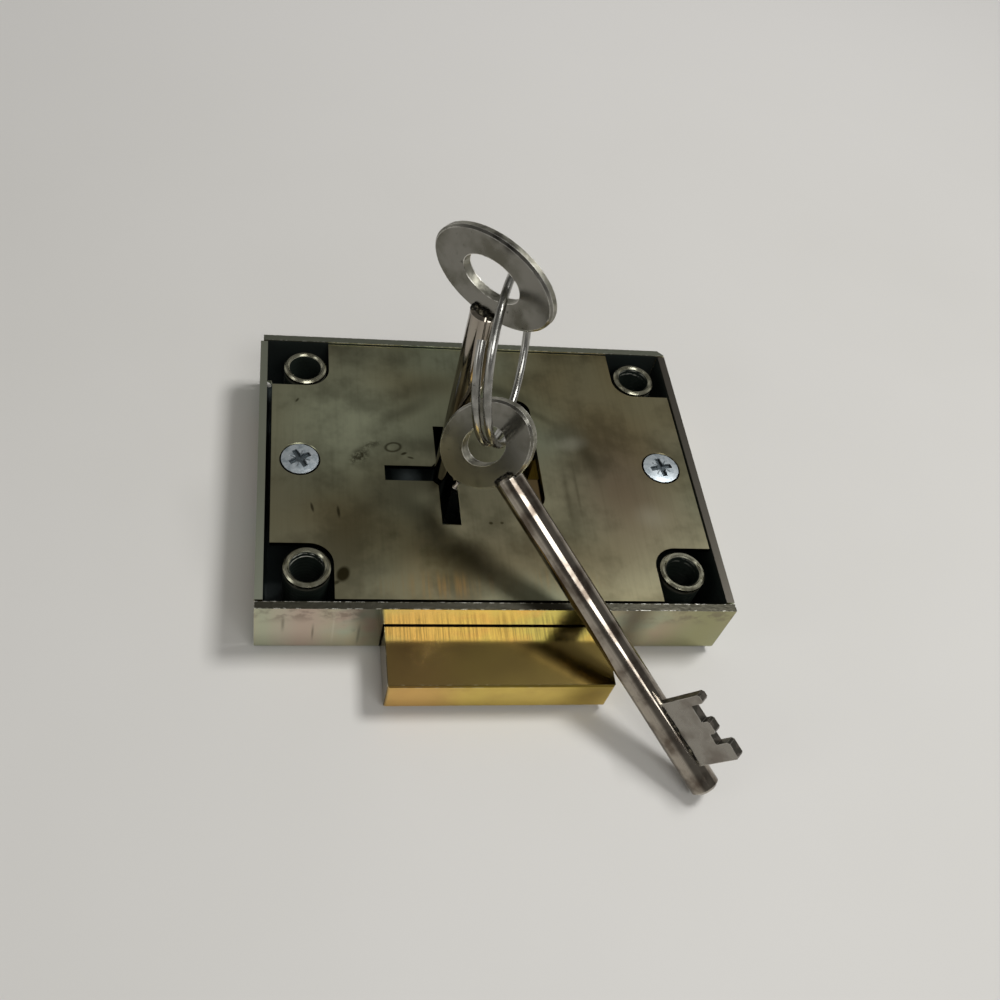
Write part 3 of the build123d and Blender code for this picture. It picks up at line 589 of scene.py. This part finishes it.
def makePostMaterial(name, look, x, y, glint):
    material, tree, shader, place = startMaterial(name, 1.0, look["roughness"])
    spot = clouds(tree, place, 1.6 * mm, 0.40, 0.68, 4.0, 0.6)
    # painted shade: dark in the bore from its mouth down, and dark outside too from 1 mm lower
    hole = add(tree, "MapRange", smooth, {
        0: fromAxis(tree, place, x, y), 1: (look["radius"] + 0.12) * mm, 2: (look["radius"] + 0.03) * mm})
    mouth = within(tree, place, "Z", -1, look["top"] - 0.2, 0.2 * mm)
    lower = within(tree, place, "Z", -1, look["top"] - 1.2, 0.6 * mm)
    dark = add(tree, "Math", {"operation": "MAXIMUM"}, {0: overlap(tree, hole, mouth), 1: lower})
    # turned grooves in the bore: a wave of Z, with painted glints on its far side where it catches the light
    wave = add(tree, "TexWave", {"bands_direction": "Z"}, {
        "Vector": place, "Scale": 1 / look["thread"] / circle, "Distortion": 1.2, "Detail": 2.0}, "Fac")
    crest = add(tree, "MapRange", None, {0: wave, 1: 0.55, 2: 0.95})
    far = within(tree, place, "Y", y / mm + 1.2, y / mm + 6, 0.8 * mm)
    broken = clouds(tree, place, 1.2 * mm, 0.42, 0.55)
    shine = overlap(tree, crest, far, glint, broken, within(tree, place, "Z", *look["lit"], 0.3 * mm))
    color = coats(tree, look["rim"], (spot, look["shade"]), (dark, look["bore"]), (shine, look["shine"]))
    tree.links.new(color, shader.inputs["Base Color"])
    rough = add(tree, "Math", {"operation": "MULTIPLY_ADD"}, {
        0: dark, 1: look["boreRough"], 2: look["roughness"]})
    tree.links.new(rough, shader.inputs["Roughness"])
    film = add(tree, "Math", {"operation": "MULTIPLY_ADD"}, {0: dark, 1: -look["shadeDullness"], 2: 1.0})
    tree.links.new(film, shader.inputs["Metallic"])
    relief(tree, shader, (wave, 0.05 * mm, 0.5), (spot, 0.03 * mm, 0.4), (shine, 0.30 * mm, 1.0))
    return material


for name in named("fixing_post_"):
    which = name.removeprefix("fixing_post_")
    glint = postLook["glint"][which]
    wear([name], makePostMaterial("turned steel tube " + which, postLook, *middleOf(name), glint))

# The cap screws: bright zinc, cold headed, so a pale blue-grey satin, with the driver recess painted greyer
# as shade and painted glints in it. Wing and half are the half length and half width of the recess in mm,
# turn is how far it is turned, in degrees, and sunk is the heights in mm that lie below the cap's face,
# painted in the same shade.
screwLook = {
    "zinc": "#bcc4c8", "shade": "#949fa5", "recess": "#565e62", "floor": "#a9b2b6",
    "metallic": 0.72, "roughness": 0.42, "wing": 2.3, "half": 0.60, "sunk": (10.0, 14.78),
    "turn": {"left": 30, "right": 12}}


def makeScrewMaterial(name, look, x, y, turn):
    material, tree, shader, place = startMaterial(name, look["metallic"], look["roughness"])
    moved = add(tree, "Mapping", {"vector_type": "TEXTURE"}, {
        "Vector": place, "Location": (x, y, 0), "Rotation": (0, 0, math.radians(turn))})
    # the smaller and the larger of |x| and |y| measure a cross
    sides = [add(tree, "SeparateXYZ", None, {0: moved}, axis) for axis in "XY"]
    sides = [add(tree, "Math", {"operation": "ABSOLUTE"}, {0: side}) for side in sides]
    small = add(tree, "Math", {"operation": "MINIMUM"}, {0: sides[0], 1: sides[1]})
    large = add(tree, "Math", {"operation": "MAXIMUM"}, {0: sides[0], 1: sides[1]})
    # four wings, a little wider at the middle
    flare = add(tree, "Math", {"operation": "MULTIPLY_ADD"}, {0: large, 1: 0.22, 2: small})
    narrow = add(tree, "MapRange", smooth, {
        0: flare, 1: (look["half"] + 0.42) * mm, 2: (look["half"] + 0.22) * mm})
    short = add(tree, "MapRange", smooth, {
        0: large, 1: (look["wing"] + 0.1) * mm, 2: (look["wing"] - 0.15) * mm})
    wing = overlap(tree, narrow, short)
    # four short scored lines between them
    slant = add(tree, "Math", {"operation": "SUBTRACT"}, {0: large, 1: small})
    line = add(tree, "MapRange", smooth, {0: slant, 1: 0.20 * mm, 2: 0.10 * mm})
    score = overlap(tree, line, add(tree, "MapRange", smooth, {0: large, 1: 1.55 * mm, 2: 1.45 * mm}))
    # painted glints on the floor of the recess
    flash = overlap(tree, wing, clouds(tree, place, 0.7 * mm, 0.44, 0.54, 2.0))
    spot = clouds(tree, place, 1.1 * mm, 0.40, 0.70, 4.0, 0.6)
    # painted shade: the recess, its scored lines and what lies below the cap's face are greyer
    color = coats(tree, look["zinc"], (spot, look["shade"]), (overlap(tree, wing, 0.9), look["recess"]),
                  (overlap(tree, score, 0.7), look["recess"]), (overlap(tree, flash, 0.8), look["floor"]),
                  (within(tree, place, "Z", *look["sunk"]), look["recess"]))
    tree.links.new(color, shader.inputs["Base Color"])
    relief(tree, shader, (score, -0.15 * mm, 0.8), (clouds(tree, place, 0.5 * mm), 0.02 * mm, 0.4))
    return material


for name in named("cap_screw_"):
    which = name.removeprefix("cap_screw_")
    turn = screwLook["turn"][which]
    wear([name], makeScrewMaterial("bright zinc screw " + which, screwLook, *middleOf(name), turn))

# Inner steel: pillars, pivot, spacer, guide, stop and springs, oiled and seldom seen
innerLook = {"plate": "#6f6f68", "worn": "#575750", "fleck": "#2e2e29", "size": 3 * mm, "roughness": 0.35}
innerParts = ["lever_pivot_post", "lever_spacer", "bolt_guide_stud", "spring_stop_post"]
wear(named("screw_pillar") + innerParts, makeNickelMaterial("oiled turned steel", innerLook))
springLook = {"plate": "#5b5f68", "worn": "#474a52", "fleck": "#25272b", "size": 2 * mm, "roughness": 0.30}
wear(named("lever_spring"), makeNickelMaterial("blued spring strip", springLook))
print("posts, screws and inner steel finished")

# Beads of braze where the bows and bits join the shanks: dark flux skin over brass-tinted metal.
# The bow beads are lumpy, the bit beads are thin fillets. Radius, half the length, how far the middle line
# stands off the flat face and how deep it sinks into the shank's end or side are in mm, and lumps is how
# many swellings one has.
beadLook = {
    "braze": "#7c7665", "skin": "#262521", "roughness": 0.34, "firstSeed": 3,
    "bow": {"radius": 0.62, "half": 2.3, "off": 0.35, "sink": 0.1, "lumps": 2.0},
    "bit": {"radius": 0.22, "off": 0.02, "sink": 0.03, "lumps": 2.5}}


def makeBeadMaterial(look):
    material, tree, shader, place = startMaterial("braze bead under flux skin", 1.0, look["roughness"])
    lump = clouds(tree, place, 0.9 * mm, 0.46, 0.66, 4.0, 0.62)
    tree.links.new(coats(tree, look["skin"], (lump, look["braze"])), shader.inputs["Base Color"])
    relief(tree, shader, (lump, 0.10 * mm, 0.7))
    return material


def gridMesh(name, points, material):
    # a closed surface through a grid of points (rows along the first axis), its two ends closed by fans
    rows, cols = points.shape[:2]
    spots = points.reshape(-1, 3)
    ends = np.stack([points[0].mean(0), points[-1].mean(0)])
    spots = np.vstack([spots, ends])
    i, j = np.meshgrid(np.arange(rows - 1), np.arange(cols), indexing="ij")
    k = (j + 1) % cols
    quads = np.stack([i * cols + j, i * cols + k, (i + 1) * cols + k, (i + 1) * cols + j], -1).reshape(-1, 4)
    c = np.arange(cols)
    n = (c + 1) % cols
    first = np.stack([n, c, np.full(cols, rows * cols)], -1)
    last = np.stack([(rows - 1) * cols + c, (rows - 1) * cols + n, np.full(cols, rows * cols + 1)], -1)
    mesh = bpy.data.meshes.new(name)
    mesh.from_pydata(spots.tolist(), [], quads.tolist() + first.tolist() + last.tolist())
    mesh.polygons.foreach_set("use_smooth", np.ones(len(mesh.polygons), bool))
    mesh.materials.append(material)
    mesh.update()
    piece = bpy.data.objects.new(name, mesh)
    bpy.context.scene.collection.objects.link(piece)
    return piece


def beadRow(start, end, radius, seed, lumps):
    # a bead laid from start to end: circles along the line, whose radius swells and shrinks with two sines
    # along it and one round it, and closes at both ends
    rng = np.random.default_rng(seed)
    start, end = np.array(start), np.array(end)
    along = end - start
    side = np.cross(along, (0.31, 0.44, 0.84))
    side /= np.linalg.norm(side)
    other = np.cross(along, side)
    other /= np.linalg.norm(other)
    t = np.linspace(0, 1, 40)[:, None]
    a = np.linspace(0, 2 * np.pi, 24, endpoint=False)[None, :]
    phase = rng.uniform(0, circle, 3)
    swell = 1 + 0.22 * np.sin(lumps * circle * t + phase[0])
    swell += 0.12 * np.sin(2.3 * lumps * circle * t + phase[1])
    closing = np.sqrt(np.clip(1 - (2 * t - 1) ** 8, 0.001, 1))
    size = radius * swell * closing * (1 + 0.1 * np.sin(3 * a + phase[2]))
    ring = np.cos(a)[..., None] * side + np.sin(a)[..., None] * other
    return start + t[..., None] * along + size[..., None] * ring


def addBeads(s, look):
    bow, bit = look["bow"], look["bit"]
    rows = []   # the body, the part that is brazed, the side, the bead's two ends and its sizes
    for body, where, top in (("key_1", fixedFrame(s), s["fixedTop"]),
                             ("key_2", looseFrame(s), s["looseTop"])):
        foot, along, out, across = where
        for side in (-1, 1):
            middle = foot + along * (top - bow["sink"]) + across * side * (s["half"] + bow["off"])
            rows.append((body, "bow", side, middle - out * bow["half"], middle + out * bow["half"], bow))
        if body == "key_1":   # its bit is hidden in the case
            continue
        for side in (-1, 1):
            line = foot + out * (s["shankRadius"] - bit["sink"]) + across * side * (s["half"] + bit["off"])
            rows.append((body, "bit", side, line + along * s["bitLow"], line + along * s["bitHigh"], bit))
    braze = makeBeadMaterial(look)
    for seed, (body, part, side, start, end, sizes) in enumerate(rows, look["firstSeed"]):
        points = beadRow(start, end, sizes["radius"], seed, sizes["lumps"])
        bead = gridMesh("%s_%s_braze_%s" % (body, part, "ab"[side > 0]), points * mm, braze)
        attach(bead, body)


addBeads(keySizes, beadLook)
print("braze beads laid")
